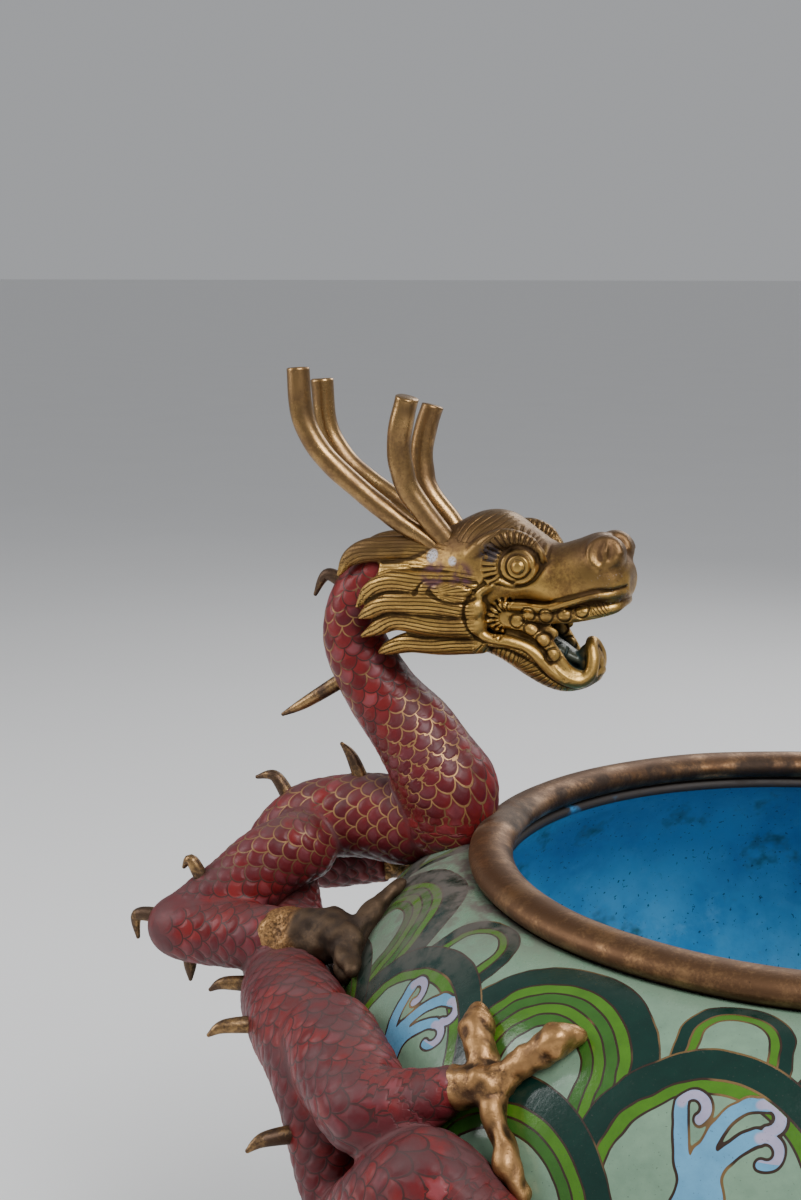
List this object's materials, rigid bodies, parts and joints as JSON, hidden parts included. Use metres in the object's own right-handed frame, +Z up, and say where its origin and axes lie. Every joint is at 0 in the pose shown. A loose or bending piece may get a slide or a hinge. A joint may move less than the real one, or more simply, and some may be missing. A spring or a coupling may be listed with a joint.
{
  "type": "incense burner",
  "caption": "Round-bellied enamelled copper censer, open mouth with a rolled bronze rim, dragon handles climbing its sides, on short cast feet.",
  "frame": {"origin": "on the floor under the bowl's axis, at the bottom centre of the bounding box", "axes": "+Z up along the bowl's axis; X runs through the two dragons, the first on the -X side"},
  "size_m": [0.588, 0.4686, 0.4824],
  "materials": {
    "wave_enamel": "fired glass enamel over copper, glossy, worn",
    "red_enamel": "fired glass enamel over copper, satin, dusty",
    "old_gilt": "worn fire gilding on cast bronze",
    "brown_bronze": "brown patinated bronze, worn edges"
  },
  "bodies": {
    "root": {"bowl": "wave_enamel", "mouth_rim": "brown_bronze", "foot_1": "old_gilt", "foot_2": "old_gilt", "foot_3": "old_gilt", "dragon_a_body": "red_enamel", "dragon_a_head": "old_gilt", "dragon_a_horn_1": "old_gilt", "dragon_a_horn_2": "old_gilt", "dragon_a_claw_1": "old_gilt", "dragon_a_claw_2": "old_gilt", "dragon_a_claw_3": "old_gilt", "dragon_a_claw_4": "old_gilt", "dragon_a_spine_01": "old_gilt", "dragon_a_spine_02": "old_gilt", "dragon_a_spine_03": "old_gilt", "dragon_a_spine_04": "old_gilt", "dragon_a_spine_05": "old_gilt", "dragon_a_spine_06": "old_gilt", "dragon_a_spine_07": "old_gilt", "dragon_a_spine_08": "old_gilt", "dragon_a_spine_09": "old_gilt", "dragon_a_spine_10": "old_gilt", "dragon_a_spine_11": "old_gilt", "dragon_a_spine_12": "old_gilt", "dragon_b_body": "red_enamel", "dragon_b_head": "old_gilt", "dragon_b_horn_1": "old_gilt", "dragon_b_horn_2": "old_gilt", "dragon_b_claw_1": "old_gilt", "dragon_b_claw_2": "old_gilt", "dragon_b_claw_3": "old_gilt", "dragon_b_claw_4": "old_gilt", "dragon_b_spine_01": "old_gilt", "dragon_b_spine_02": "old_gilt", "dragon_b_spine_03": "old_gilt", "dragon_b_spine_04": "old_gilt", "dragon_b_spine_05": "old_gilt", "dragon_b_spine_06": "old_gilt", "dragon_b_spine_07": "old_gilt", "dragon_b_spine_08": "old_gilt", "dragon_b_spine_09": "old_gilt", "dragon_b_spine_10": "old_gilt", "dragon_b_spine_11": "old_gilt", "dragon_b_spine_12": "old_gilt"}
  },
  "joints": []
}
